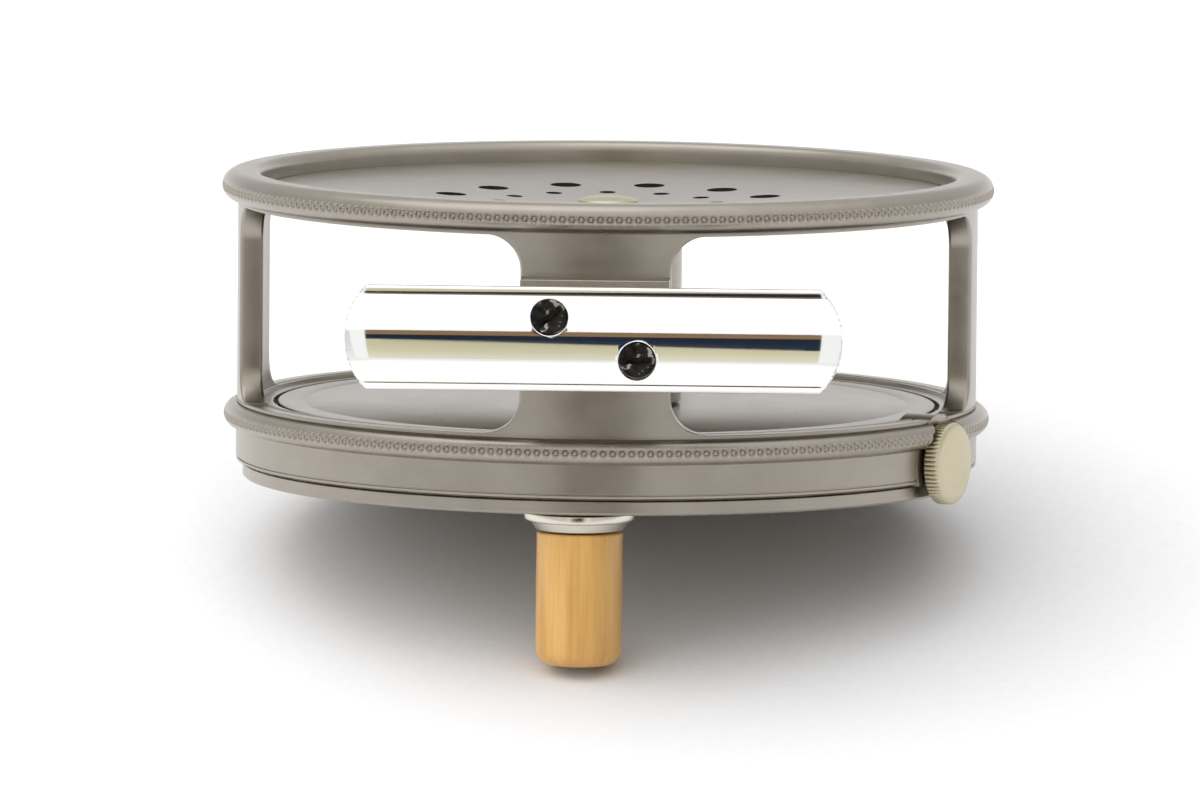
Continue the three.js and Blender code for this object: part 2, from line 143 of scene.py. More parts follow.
# ---- Foot ----
FOOT_HALF_LENGTH = FOOT_HIGH.x
FOOT_HALF_WIDTH = (FOOT_HIGH.z - FOOT_LOW.z) / 2
FOOT_LIP_Y = -FOOT_LOW.y
TROUGH_R = 10
TROUGH_HALF = 5.448
TROUGH_SIDES = (TROUGH_HALF, 5.565)  # how far the hollow reaches up and down
TROUGH_EDGE_Y = -FOOT_LIP_Y + 0.06
CUT_FROM_Y = -FOOT_LIP_Y - 2  # clear of the foot's face
FOOT_T = 2
FOOT_END_R = 9.2
FOOT_BEND = 4.9  # length at each end that bends back
PAD_LONG_HALF = 17  # at the leaf
PAD_SHORT_HALF = 11.5  # at the saddle
SEAT_Y = 52.2
PAD_HALF_WIDTH = 4.2
SADDLE_HALF = 9.6
SADDLE_Z = (-6, 7.2)

# ---- Stage ----
TABLE_TILT = 13.6  # the reel rests on its handle and the far edge of its plate
TABLE_GAP = 0.1  # millimetres
TABLE_REACH = 6.0
WINDOW_FROM = (-0.50, -0.30, 0.81)
WINDOW_LOW, WINDOW_HIGH = 0.10, 2.25

# What the metal mirrors, from below the table (0) to straight above it (1).
SURROUNDINGS = (
    (0.45, (0.70, 0.70, 0.72)),
    (0.60, (0.72, 0.72, 0.72)),
    (0.70, (0.78, 0.78, 0.76)),
    (0.835, (0.92, 0.92, 0.90)),
    (0.85, (1.12, 1.12, 1.12)),
    (1.0, (1.15, 1.15, 1.15)),
)


# ---- Mesh helpers ----
def link(obj):
    """Adds an object to the scene."""
    bpy.context.scene.collection.objects.link(obj)
    return obj


def shade(obj, sharp_degrees=32):
    """Smooth faces, with a hard edge where two meet at more than the angle."""
    obj.data.shade_smooth()
    obj.data.set_sharp_from_angle(angle=math.radians(sharp_degrees))
    return obj


def solid(name, verts, faces, sharp_degrees=32):
    """An object from points in millimetres, its faces turned outwards."""
    mesh = bpy.data.meshes.new(name)
    mesh.from_pydata([Vector(v) * MM for v in verts], [], faces)
    work = bmesh.new()
    work.from_mesh(mesh)
    bmesh.ops.recalc_face_normals(work, faces=work.faces)
    work.to_mesh(mesh)
    work.free()
    mesh.update()
    return shade(link(bpy.data.objects.new(name, mesh)), sharp_degrees)


def polar(radius, degrees):
    """A point on a circle round the origin."""
    a = math.radians(degrees)
    return radius * math.cos(a), radius * math.sin(a)


def arc(centre, radii, start, end, steps):
    """Points along an elliptical arc, angles in degrees."""
    points = []
    for i in range(steps + 1):
        a = math.radians(start + (end - start) * i / steps)
        points.append((centre[0] + radii[0] * math.cos(a), centre[1] + radii[1] * math.sin(a)))
    return points


def rounded(outline, step_degrees=18):
    """A closed outline whose points may name a fillet: (x, y) or (x, y, fillet)."""
    points = []
    count = len(outline)
    for i, corner in enumerate(outline):
        here = Vector(corner[:2])
        fillet = corner[2] if len(corner) > 2 else 0
        if not fillet:
            points.append(tuple(here))
            continue
        back = Vector(outline[i - 1][:2]) - here
        ahead = Vector(outline[(i + 1) % count][:2]) - here
        half = back.angle(ahead) / 2
        reach = fillet / math.tan(half)
        start = here + back.normalized() * reach
        end = here + ahead.normalized() * reach
        middle = (back.normalized() + ahead.normalized()).normalized()
        centre = here + middle * fillet / math.sin(half)
        turn = (start - centre).angle_signed(end - centre)
        steps = max(2, round(abs(math.degrees(turn)) / step_degrees))
        for k in range(steps + 1):
            arm = (start - centre).copy()
            arm.rotate(Matrix.Rotation(-turn * k / steps, 2))
            points.append(tuple(centre + arm))
    return points


def lathe(name, outline, segments=240, sharp_degrees=32):
    """A solid turned about Z. The outline is closed, or starts and ends on the axis."""
    on_axis = outline[0][0] == 0 and outline[-1][0] == 0
    ring = outline[1:-1] if on_axis else outline
    rows = len(ring)
    verts = []
    for k in range(segments):
        c, s = polar(1, 360 * k / segments)
        verts += [(r * c, r * s, z) for r, z in ring]
    faces = []
    spans = rows - 1 if on_axis else rows
    for k in range(segments):
        a, b = k * rows, (k + 1) % segments * rows
        for i in range(spans):
            j = (i + 1) % rows
            faces.append((a + i, b + i, b + j, a + j))
    if on_axis:
        for (_, z), i in ((outline[0], 0), (outline[-1], rows - 1)):
            verts.append((0, 0, z))
            pole = len(verts) - 1
            faces += [(k * rows + i, (k + 1) % segments * rows + i, pole) for k in range(segments)]
    return solid(name, verts, faces, sharp_degrees)


def loft(name, rows, sharp_degrees=32):
    """A solid through closed rows of equal length, capped at both ends."""
    count = len(rows[0])
    verts = [v for row in rows for v in row]
    faces = []
    for k in range(len(rows) - 1):
        for i in range(count):
            j = (i + 1) % count
            faces.append((k * count + i, k * count + j, (k + 1) * count + j, (k + 1) * count + i))
    faces.append(tuple(range(count)))
    faces.append(tuple(range((len(rows) - 1) * count, len(rows) * count)))
    return solid(name, verts, faces, sharp_degrees)


def bar(name, radius, start, end, segments=64):
    """A round bar between two points, used to cut holes and to build bosses."""
    start, end = Vector(start), Vector(end)
    turn = (end - start).to_track_quat("Z", "Y")
    length = (end - start).length
    rows = []
    for along in (0, length):
        row = [Vector((*polar(radius, 360 * k / segments), along)) for k in range(segments)]
        rows.append([start + turn @ v for v in row])
    return loft(name, rows)


def block(name, low, high):
    """A box between two corners, used to cut."""
    x0, y0, z0 = low
    x1, y1, z1 = high
    rows = [[(x0, y0, z), (x1, y0, z), (x1, y1, z), (x0, y1, z)] for z in (z0, z1)]
    return loft(name, rows)


def boolean(obj, operation, *tools, solver="EXACT"):
    """The result of joining, cutting or intersecting obj with the tools, which are then deleted."""
    for tool in tools:
        step = obj.modifiers.new("boolean", "BOOLEAN")
        step.operation = operation
        step.solver = solver
        step.object = tool
    settle(obj)
    for tool in tools:
        bpy.data.objects.remove(tool)
    return shade(obj)


def settle(obj):
    """Replaces the object's mesh with the result of its modifiers."""
    view = bpy.context.evaluated_depsgraph_get()
    mesh = bpy.data.meshes.new_from_object(obj.evaluated_get(view))
    obj.modifiers.clear()
    obj.data = mesh


def soften(obj, width, segments=2, degrees=40, clamp=True):
    """A small rounding along every hard edge."""
    step = obj.modifiers.new("edge rounding", "BEVEL")
    step.width = width * MM
    step.segments = segments
    step.limit_method = "ANGLE"
    step.use_clamp_overlap = clamp
    step.angle_limit = math.radians(degrees)
    step.harden_normals = True
    return obj


def even_normals(obj):
    """Shades large faces flat where thin ones meet them."""
    step = obj.modifiers.new("normals", "WEIGHTED_NORMAL")
    step.keep_sharp = True
    return obj


def place(obj, at, axis=Vector((0, 0, 1))):
    """Puts a piece made about its own Z axis on an axis of the reel."""
    obj.location = Vector(at) * MM
    obj.rotation_mode = "QUATERNION"
    obj.rotation_quaternion = Vector((0, 0, 1)).rotation_difference(axis)
    return obj


def finish_piece(obj, body, material, slot, *nodes):
    """Gives a piece its material and its place in the assembly."""
    obj.data.materials.clear()
    obj.data.materials.append(material)
    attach(obj, body)
    if nodes:
        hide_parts(*nodes)
    return obj


# ---- Material helpers ----
def set_stops(ramp_node, stops):
    """Fills a colour ramp from (place, colour) stops."""
    points = ramp_node.color_ramp.elements
    while len(points) < len(stops):
        points.new(1)
    for point, (at, colour) in zip(points, stops):
        point.position = at
        point.color = (*colour, 1)


class Surface:
    """A node material: a Principled shader and the procedural nodes that feed it."""

    def __init__(self, name, roughness, metallic, **sockets):
        self.material = bpy.data.materials.new(name)
        self.material.use_nodes = True
        self.nodes = self.material.node_tree.nodes
        self.links = self.material.node_tree.links
        self.shader = self.nodes["Principled BSDF"]
        self.shader.inputs["Roughness"].default_value = roughness
        self.shader.inputs["Metallic"].default_value = metallic
        for socket, value in sockets.items():
            self.shader.inputs[socket.replace("_", " ")].default_value = value

    def add(self, kind, inputs=None, **settings):
        """A new node, its inputs set to values or linked to sockets."""
        node = self.nodes.new(kind)
        for key, value in settings.items():
            setattr(node, key, value)
        for key, value in (inputs or {}).items():
            if isinstance(value, bpy.types.NodeSocket):
                self.links.new(value, node.inputs[key])
            else:
                node.inputs[key].default_value = value
        return node

    def place(self):
        """Object coordinates, in metres."""
        return self.add("ShaderNodeTexCoord").outputs["Object"]

    def turned_place(self, lines_per_mm):
        """Coordinates that change along the radius and the axis, so a noise becomes turning lines."""
        x, y, z = self.add("ShaderNodeSeparateXYZ", {0: self.place()}).outputs
        flat = self.add("ShaderNodeCombineXYZ", {0: x, 1: y}).outputs[0]
        radius = self.add("ShaderNodeVectorMath", {0: flat}, operation="LENGTH").outputs["Value"]
        lines = self.add("ShaderNodeCombineXYZ", {0: radius, 1: z}).outputs[0]
        scaled = self.add("ShaderNodeVectorMath", {0: lines, 3: lines_per_mm / MM}, operation="SCALE")
        return scaled.outputs[0]

    def stretched_place(self, x, y, z):
        """Object coordinates scaled along each axis, per millimetre."""
        scale = (x / MM, y / MM, z / MM)
        return self.add("ShaderNodeMapping", {"Vector": self.place(), "Scale": scale}).outputs[0]

    def noise(self, place, scale=1.0, detail=3.0, roughness=0.55):
        """Grey noise over the given coordinates."""
        inputs = {"Vector": place, "Scale": scale, "Detail": detail, "Roughness": roughness}
        return self.add("ShaderNodeTexNoise", inputs).outputs[0]

    def ramp(self, value, *stops):
        """A colour ramp from (place, colour) stops."""
        node = self.add("ShaderNodeValToRGB", {0: value})
        set_stops(node, stops)
        return node.outputs[0]

    def spread(self, value, low, high):
        """A value from 0 to 1 carried to low to high."""
        return self.add("ShaderNodeMapRange", {0: value, 3: low, 4: high}).outputs[0]

    def mix(self, factor, first, second):
        """A colour between two others, each a socket or an (r, g, b) value."""
        node = self.add("ShaderNodeMix", {0: factor}, data_type="RGBA")
        for socket, value in ((node.inputs[6], first), (node.inputs[7], second)):
            if isinstance(value, bpy.types.NodeSocket):
                self.links.new(value, socket)
            else:
                socket.default_value = (*value, 1)
        return node.outputs[2]

    def bump(self, height, strength, distance, before=None):
        """A normal bent by a height, on top of an earlier bump if there is one."""
        inputs = {"Height": height, "Strength": strength, "Distance": distance * MM}
        if before:
            inputs["Normal"] = before
        return self.add("ShaderNodeBump", inputs).outputs[0]

    def feed(self, socket, value):
        """Links a value to one of the shader's inputs."""
        self.links.new(value, self.shader.inputs[socket])


def satin_metal(name, light, dark, roughness, lines=7.0, depth=0.012, streaks=0.5):
    """Turned metal with a satin skin: fine lathe lines, slow patches and a small grain."""
    skin = Surface(name, roughness, 1.0)
    turned = skin.turned_place(lines)
    fine = skin.noise(turned, detail=4)
    patches = skin.noise(skin.stretched_place(0.22, 0.22, 0.22), detail=5)
    grain = skin.noise(skin.stretched_place(5, 5, 5), detail=3, roughness=0.7)
    patchy = skin.ramp(patches, (0.3, dark), (0.7, light))
    lined = skin.ramp(fine, (0.25, dark), (0.75, light))
    skin.feed("Base Color", skin.mix(skin.spread(grain, streaks - 0.2, streaks + 0.2), patchy, lined))
    skin.feed("Roughness", skin.spread(patches, roughness - 0.06, roughness + 0.06))
    lined_bump = skin.bump(fine, 0.5, depth)
    skin.feed("Normal", skin.bump(grain, 0.5, 0.02, lined_bump))
    return skin.material


def mirror_metal():
    """Polished aluminium, with hairline wiping marks along the foot."""
    skin = Surface("polished_aluminium", 0.05, 1.0)
    marks = skin.noise(skin.stretched_place(0.05, 3, 3), detail=4)
    clouds = skin.noise(skin.stretched_place(0.1, 0.1, 0.1), detail=3)
    skin.feed("Base Color", skin.ramp(clouds, (0.3, (0.90, 0.90, 0.89)), (0.7, (0.95, 0.95, 0.94))))
    skin.feed("Roughness", skin.spread(marks, 0.025, 0.085))
    skin.feed("Normal", skin.bump(marks, 0.12, 0.004))
    return skin.material


def blued_metal():
    """Heat-blued steel, worn to a browner tone in places."""
    skin = Surface("blued_steel", 0.3, 1.0)
    wear = skin.noise(skin.stretched_place(0.9, 0.9, 0.9), detail=5)
    tone = skin.ramp(wear, (0.35, (0.012, 0.012, 0.014)), (0.7, (0.055, 0.050, 0.040)))
    chips = skin.noise(skin.stretched_place(0.8, 0.8, 0.8), detail=2)
    worn = skin.ramp(chips, (0.60, (0, 0, 0)), (0.64, (1, 1, 1)))
    skin.feed("Base Color", skin.mix(worn, tone, (0.42, 0.40, 0.35)))
    skin.feed("Roughness", skin.spread(wear, 0.22, 0.42))
    skin.feed("Normal", skin.bump(skin.noise(skin.stretched_place(4, 4, 4)), 0.3, 0.01))
    return skin.material


def boxwood():
    """Oiled boxwood: honey amber, faint streaks along the grain, small specks and a thin coat."""
    dark, honey, pale = (0.58, 0.28, 0.055), (0.72, 0.40, 0.10), (0.80, 0.49, 0.155)
    dark_fibre, pale_fibre = (0.60, 0.30, 0.065), (0.76, 0.45, 0.13)
    skin = Surface("boxwood", 0.36, 0.0, Coat_Weight=0.35, Coat_Roughness=0.18)
    slow = skin.noise(skin.stretched_place(0.35, 0.35, 0.03), detail=4)
    fibres = skin.noise(skin.stretched_place(2.6, 2.6, 0.12), detail=5, roughness=0.7)
    tone = skin.ramp(slow, (0.3, dark), (0.5, honey), (0.72, pale))
    grain = skin.ramp(fibres, (0.35, dark_fibre), (0.62, pale_fibre))
    body = skin.mix(skin.spread(fibres, 0.2, 0.55), tone, grain)
    pores = skin.add("ShaderNodeTexVoronoi", {"Vector": skin.stretched_place(0.95, 0.95, 0.5)}).outputs[0]
    rare = skin.noise(skin.stretched_place(0.3, 0.3, 0.2), detail=1)
    near = skin.ramp(pores, (0.05, (1, 1, 1)), (0.10, (0, 0, 0)))
    patch = skin.ramp(rare, (0.55, (0, 0, 0)), (0.6, (1, 1, 1)))
    speck = skin.add("ShaderNodeMath", {0: near, 1: patch}, operation="MULTIPLY")
    skin.feed("Base Color", skin.mix(speck.outputs[0], body, (0.34, 0.15, 0.035)))
    skin.feed("Roughness", skin.spread(fibres, 0.30, 0.44))
    skin.feed("Normal", skin.bump(fibres, 0.25, 0.02))
    return skin.material


# Light colour, dark colour and roughness of each satin metal.
SATIN_METALS = {
    "anodised_aluminium": ((0.40, 0.363, 0.315), (0.33, 0.298, 0.256), 0.30),
    # Painted shade, not a metal's own colour: a near-black skin for the walls of the rear flange's holes,
    # standing in for the shadow inside them.
    "painted_hole_shade": ((0.06, 0.055, 0.05), (0.04, 0.036, 0.034), 0.5),
    "nickel_silver": ((0.60, 0.55, 0.40), (0.50, 0.455, 0.31), 0.33),
    "bright_nickel": ((0.74, 0.71, 0.63), (0.66, 0.63, 0.55), 0.14),
    "bright_steel": ((0.60, 0.60, 0.60), (0.48, 0.48, 0.49), 0.26),
    "bronze": ((0.56, 0.36, 0.17), (0.44, 0.27, 0.12), 0.36),
}
MATERIALS = {name: satin_metal(name, *look) for name, look in SATIN_METALS.items()}
MATERIALS["polished_aluminium"] = mirror_metal()
MATERIALS["blued_steel"] = blued_metal()
MATERIALS["boxwood"] = boxwood()


def frame_piece(obj, *nodes):
    """Finishes a piece of the frame casting."""
    slot = "anodised_aluminium"
    return finish_piece(obj, "frame_body", MATERIALS[slot], slot, *nodes)


def drum_piece(obj, slot, *nodes):
    """Finishes a piece that turns with the drum."""
    return finish_piece(obj, "drum", MATERIALS[slot], slot, *nodes)


# ---- Frame casting: housing, rear rim, bridge and pillars ----
def front_housing():
    """Band, bead, sill and the web that carries the spindle, with the flat for the regulator."""
    groove_foot = FRONT_BEAD_Z + FRONT_BEAD_HALF + 0.02
    bead = channelled_bead((BAND_R, FRONT_BEAD_Z), (FRONT_BEAD_R, FRONT_BEAD_HALF), 86)
    outline = rounded([
        (BUSH_BORE, BOSS_FOOT),
        (BOSS_R, BOSS_FOOT, 0.3),
        (BOSS_R, WEB_Z[0], 0.6),
        (HOUSING_RECESS, WEB_Z[0], 0.6),
        (HOUSING_RECESS, FRAME_LOW.z, 0.12),
        (PLATE_R, FRAME_LOW.z, 0.08),
        (48.5, 2.25, 0.1),
        (48.72, 2.3, 0.06),
        (48.75, 2.62, 0.06),
        (48.55, 2.66),
        (48.55, BAND_FOOT - 0.06),
        (BAND_R, BAND_FOOT, 0.05),
        (BAND_R, 6.62),
    ]) + bead + rounded([
        (BAND_R, groove_foot),
        (BAND_R - BAND_GROOVE, groove_foot + 0.05),
        (BAND_R - BAND_GROOVE, groove_foot + 0.2),
        (BAND_R, groove_foot + 0.25),
        (BAND_R, SILL_Z - SILL_EDGE, 0.08),
        (BAND_R - SILL_EDGE, SILL_Z, 0.08),
        (SILL_GROOVE[1], SILL_Z, 0.08),
        (SILL_GROOVE[1] - 0.2, SILL_Z - SILL_GROOVE_DEPTH),
        (SILL_GROOVE[0] + 0.2, SILL_Z - SILL_GROOVE_DEPTH),
        (SILL_GROOVE[0], SILL_Z, 0.08),
        (SILL_IN, SILL_Z, 0.12),
        (SILL_IN, LEDGE_Z, 0.1),
        (HOUSING_BORE, LEDGE_Z, 0.15),
        (HOUSING_BORE, WEB_Z[1], 0.4),
        (BUSH_BORE, WEB_Z[1]),
    ])
    housing = lathe("front_housing", outline, 360)
    boolean(housing, "UNION", knob_boss(), solver="MANIFOLD")
    boolean(housing, "DIFFERENCE", spot_face("flat"), stem_hole(), solver="MANIFOLD")
    return frame_piece(even_normals(housing), "frame")


def knob_bar(name, radius, start, end, segments):
    """A round bar on the regulator's axis, between two distances from the spindle."""
    return bar(name, radius, KNOB_LEVEL + KNOB_AXIS * start, KNOB_LEVEL + KNOB_AXIS * end, segments)


def knob_boss():
    """The short boss inside the band that backs the regulator's flat, cut off level with the housing."""
    boss = knob_bar("boss", KNOB_BOSS_R, 44.3, 48.6, 96)
    trim = block("trim", (0, -RIM_R, -6), (RIM_R, 0, FRAME_LOW.z))
    return boolean(boss, "DIFFERENCE", trim)


def spot_face(name):
    """The cutter that leaves a flat for the regulator knob."""
    return knob_bar(name, KNOB_FLAT_R, KNOB_FLAT_AT, RIM_R + 3, 96)


def stem_hole():
    """The cutter for the hole that the regulator's stem passes through."""
    return knob_bar("stem_hole", STEM_HOLE_R, HOUSING_BORE - 3, RIM_R + 3, 48)


def channelled_bead(centre, radii, spread):
    """A half-round bead's outline with a shallow channel along its crown, which the beading fills."""
    reach = math.degrees(math.asin(BEADING_HALF / radii[1])) - 0.3
    floor = (radii[0] - CHANNEL, radii[1] - CHANNEL)
    return [
        *arc(centre, radii, -spread, -reach, 14),
        *arc(centre, floor, -reach, reach, 8),
        *arc(centre, radii, reach, spread, 14),
    ]


def rear_rim():
    """The top ring: a half-round bead outside and a rolled edge inside."""
    bead = channelled_bead((REAR_BEAD_AXIS, REAR_BEAD_Z), (REAR_BEAD_R, REAR_BEAD_HALF), 89)
    outline = rounded([
        (WALL_IN, 37.5),
        (WALL_IN, REAR_FOOT, 0.25),
        (WALL_OUT, REAR_FOOT, 0.08),
        (WALL_OUT, 36.5),
    ]) + bead + rounded([
        (47.2, REAR_TOP),
        (WALL_IN, REAR_TOP, 1.15),
        (WALL_IN, 38.3),
    ])
    return frame_piece(lathe("rear_rim", outline, 360), "frame")


def pearl_height(along, across):
    """Depth of the beading at a point of one pearl: an oval groove round a low crown."""
    out = math.hypot(along / PEARL_HALF_WIDTH, across / PEARL_HALF_HEIGHT)
    groove = math.exp(-(((out - 1) / 0.30) ** 2))
    crown = math.exp(-((out / 0.6) ** 2))
    return PEARL_CROWN * crown - PEARL_GROOVE * groove


def beading(name, centre, radii, samples=14, rows=15):
    """A ring of pearls milled along the crown of a half-round bead."""
    circumference = 2 * math.pi * (centre[0] + radii[0])
    pearls = round(circumference / PEARL_PITCH)
    reach = math.degrees(math.asin(BEADING_HALF / radii[1]))
    section = [math.radians(-reach + 2 * reach * k / (rows - 1)) for k in range(rows)]
    back_r = centre[0] + radii[0] - CHANNEL - 0.3
    count = pearls * samples
    verts, faces = [], []
    ring_size = rows + 2
    for i in range(count):
        c, s = polar(1, 360 * i / count)
        along = ((i % samples) / samples - 0.5) * PEARL_PITCH
        for psi in section:
            lift = pearl_height(along, radii[1] * psi)
            r = centre[0] + (radii[0] + lift) * math.cos(psi)
            verts.append((r * c, r * s, centre[1] + (radii[1] + lift) * math.sin(psi)))
        for z in (BEADING_HALF, -BEADING_HALF):
            verts.append((back_r * c, back_r * s, centre[1] + z * 0.9))
    for i in range(count):
        a, b = i * ring_size, (i + 1) % count * ring_size
        for k in range(ring_size):
            j = (k + 1) % ring_size
            faces.append((a + k, b + k, b + j, a + j))
    return solid(name, verts, faces, 60)


def front_beading():
    """The pearls on the housing's bead, cut away where the regulator's flat is."""
    ring = beading("front_beading", (BAND_R, FRONT_BEAD_Z), (FRONT_BEAD_R, FRONT_BEAD_HALF))
    boolean(ring, "DIFFERENCE", spot_face("beading_flat"), solver="MANIFOLD")
    shade(ring, 60)
    return frame_piece(ring)


def rear_beading():
    """The pearls on the rear rim."""
    centre, radii = (REAR_BEAD_AXIS, REAR_BEAD_Z), (REAR_BEAD_R, REAR_BEAD_HALF)
    return frame_piece(beading("rear_beading", centre, radii))


def support(name, degrees, half_degrees):
    """A bridge or pillar left between two windows of the cage wall, flaring into both rings."""
    half = math.radians(half_degrees) * WALL_OUT
    flare = arc((WINDOW_CORNER, WINDOW_CORNER), (-WINDOW_CORNER, -WINDOW_CORNER), 0, 90, 12)
    levels = [(WINDOW_FOOT - 0.35, WINDOW_CORNER)]
    levels += [(WINDOW_FOOT + rise, out) for rise, out in flare]
    levels += [(REAR_FOOT - rise, out) for rise, out in reversed(flare)]
    levels += [(REAR_FOOT + 0.4, WINDOW_CORNER)]
    rows = []
    for z, out in levels:
        row = []
        for along, radius in support_section(half + out):
            sideways = WALL_OUT * math.sin(along / WALL_OUT)
            x, y = polar(radius, degrees + math.degrees(math.asin(sideways / radius)))
            row.append((x, y, z))
        rows.append(row)
    return frame_piece(loft(name, rows), "frame")


def support_section(half, edge=0.45, steps=24):
    """Rounded rectangle across a support, as (distance along the wall, radius) points."""
    side, inner, outer = half - edge, WALL_IN + edge, WALL_OUT - edge
    right = arc((side, inner), (edge, edge), -90, 0, 5) + arc((side, outer), (edge, edge), 0, 90, 5)
    left = arc((-side, outer), (edge, edge), 90, 180, 5) + arc((-side, inner), (edge, edge), 180, 270, 5)
    return right + spaced(right[-1], left[0], steps) + left + spaced(left[-1], right[0], steps)


def spaced(start, end, steps):
    """Points between two others, without the ends."""
    first, last = Vector(start), Vector(end)
    return [tuple(first.lerp(last, k / steps)) for k in range(1, steps)]


def saddle():
    """The block on the bridge that the foot is screwed down on."""
    bottom, top = SADDLE_Z
    piece = block("foot_saddle", (-SADDLE_HALF, -SEAT_Y, FOOT_Z + bottom),
                  (SADDLE_HALF, -WALL_IN - 0.8, FOOT_Z + top))
    return frame_piece(soften(piece, 0.2), "frame")


# ---- Rod foot ----
def lip(start, turns):
    """Points along a lip from (radius, first angle, last angle) bends, where angles give the normal."""
    out, z = start
    points = []
    for radius, first, last in turns:
        steps = max(2, round(abs(last - first) / 7))
        for k in range(1, steps + 1):
            a, b = (math.radians(first + (last - first) * i / steps) for i in (k - 1, k))
            out += radius * (math.cos(b) - math.cos(a))
            z += radius * (math.sin(b) - math.sin(a))
            points.append((out, z))
    return points


def foot_section():
    """Across the foot: the mirror-bright hollow between two rounded lips, and the back, as (y, z)."""
    trough_out = math.sqrt(TROUGH_R ** 2 - TROUGH_HALF ** 2) - TROUGH_EDGE_Y
    first, last = (math.degrees(math.asin(side / TROUGH_R)) for side in TROUGH_SIDES)
    hollow = arc((trough_out, 0), (-TROUGH_R, TROUGH_R), first, -last, 44)
    top_lip = lip(hollow[0], [(0.25, -first, -6), (3.0, -6, 8), (0.6, 8, 80)])
    low_lip = lip(hollow[-1], [(0.25, last, 6), (0.8, 6, -8), (1.1, -8, -80)])
    back_r = TROUGH_R + FOOT_T
    back = math.degrees(math.asin((FOOT_HALF_WIDTH - 0.15) / back_r))
    rear = arc((trough_out, 0), (-back_r, back_r), -back, back, 30)
    outline = [*reversed(top_lip), *hollow, *low_lip, *rear]
    return [(-out, FOOT_Z + z) for out, z in outline]


def foot_fall(x):
    """How far the foot bends back near its ends, so that it slides under a reel seat's hood."""
    return 0.022 * max(0, abs(x) - FOOT_HALF_LENGTH + FOOT_BEND) ** 2


def hollow_y(z):
    """Where the surface of the foot's hollow lies at a height."""
    rise = min(abs(z - FOOT_Z), TROUGH_HALF)
    depth = math.sqrt(TROUGH_R ** 2 - rise ** 2) - math.sqrt(TROUGH_R ** 2 - TROUGH_HALF ** 2)
    return TROUGH_EDGE_Y + depth


def counterbore(x, z, radius, floor_y):
    """A cutter for a screw head's seat, flaring where it meets the hollow so that its edge is rounded."""
    flare = ((0, 0.20), (0.02, 0.12), (0.06, 0.05), (0.12, 0.015), (0.20, -0.01), (0.24, -0.6))
    around = [polar(1, 360 * k / 96) for k in range(96)]
    rows = [[(x + radius * c, floor_y, z + radius * s) for c, s in around]]
    for out, depth in flare:
        r = radius + out
        rows.append([(x + r * c, hollow_y(z + r * s) + depth, z + r * s) for c, s in around])
    rows.append([(edge_x, CUT_FROM_Y, edge_z) for edge_x, _, edge_z in rows[-1]])
    return loft("counterbore", rows)


def foot_leaf():
    """The long leaf under the hollow, cut to its plan with round ends."""
    section = foot_section()
    stations = [FOOT_HALF_LENGTH * k / 40 for k in range(-40, 41)]
    fine = [side * (FOOT_HALF_LENGTH - 5 + 0.25 * k) for k in range(21) for side in (-1, 1)]
    stations = sorted(set(round(x, 3) for x in stations + fine))
    rows = [[(x, y + foot_fall(x), z) for y, z in section] for x in stations]
    leaf = loft("rod_foot", rows)
    end = FOOT_HALF_LENGTH - FOOT_END_R
    spread = math.degrees(math.asin(FOOT_HALF_WIDTH / FOOT_END_R)) - 1
    plan = arc((end, FOOT_Z), (FOOT_END_R, FOOT_END_R), -spread, spread, 40)
    plan += arc((-end, FOOT_Z), (FOOT_END_R, FOOT_END_R), 180 - spread, 180 + spread, 40)
    rows = [[(x, y, z) for x, z in plan] for y in (CUT_FROM_Y, -SEAT_Y + 2)]
    boolean(leaf, "INTERSECT", loft("plan", rows))
    settle(soften(leaf, 0.11, 3, 35, clamp=False))
    return leaf


def foot_pad():
    """The thicker middle of the foot, which stands on the saddle."""
    back = -SEAT_Y - FIT
    front = back - 1.8
    corners = (
        (-PAD_LONG_HALF, front), (PAD_LONG_HALF, front),
        (PAD_SHORT_HALF, back), (-PAD_SHORT_HALF, back),
    )
    rows = [[(x, y, FOOT_Z + z) for x, y in corners] for z in (-PAD_HALF_WIDTH, PAD_HALF_WIDTH)]
    return loft("pad", rows)


def rod_foot():
    """The foot: a hollow-faced leaf on a pad, with seats for its two screws."""
    leaf = foot_leaf()
    boolean(leaf, "UNION", foot_pad())
    for screw in ("foot_screw_left", "foot_screw_right"):
        low, high = node_box(screw)
        x, z = (low.x + high.x) / 2, (low.z + high.z) / 2
        head = (high.x - low.x) / 2 + 0.14
        hole = bar("hole", 1.6, (x, CUT_FROM_Y, z), (x, -SEAT_Y + 2, z), 48)
        boolean(leaf, "DIFFERENCE", counterbore(x, z, head, low.y + 1.95), hole)
    return finish_piece(even_normals(leaf), "frame_body", MATERIALS["polished_aluminium"],
                        "polished_aluminium", "foot")


def foot_screw(node, slot_degrees):
    """A cheese head with a slightly domed top and a screwdriver slot, seen end on from -Y."""
    low, high = node_box(node)
    centre = Vector(((low.x + high.x) / 2, low.y, (low.z + high.z) / 2))
    radius = (high.x - low.x) / 2
    depth = high.y - low.y
    crown = 0.22
    head, shank = 1.6, 1.3
    outline = rounded([
        (0, 0),
        (radius * 0.3, crown * 0.04),
        (radius * 0.6, crown * 0.3),
        (radius * 0.85, crown * 0.75),
        (radius, crown * 1.1, 0.12),
        (radius, head, 0.05),
        (shank, head),
        (shank, depth - 0.4),
        (shank - 0.4, depth),
        (0, depth),
    ])
    screw = lathe(node + "_turned", outline, 96)
    slot = block("slot", (-4, -0.4, -1), (4, 0.4, 0.62))
    boolean(screw, "DIFFERENCE", slot)
    soften(screw, 0.05, 2, 40)
    along = Euler((math.radians(-90), 0, 0)).to_quaternion()
    turn = Quaternion((0, 1, 0), math.radians(-slot_degrees))
    screw.location = centre * MM
    screw.rotation_mode = "QUATERNION"
    screw.rotation_quaternion = turn @ along
    return finish_piece(screw, "frame_body", MATERIALS["blued_steel"], "blued_steel", node)


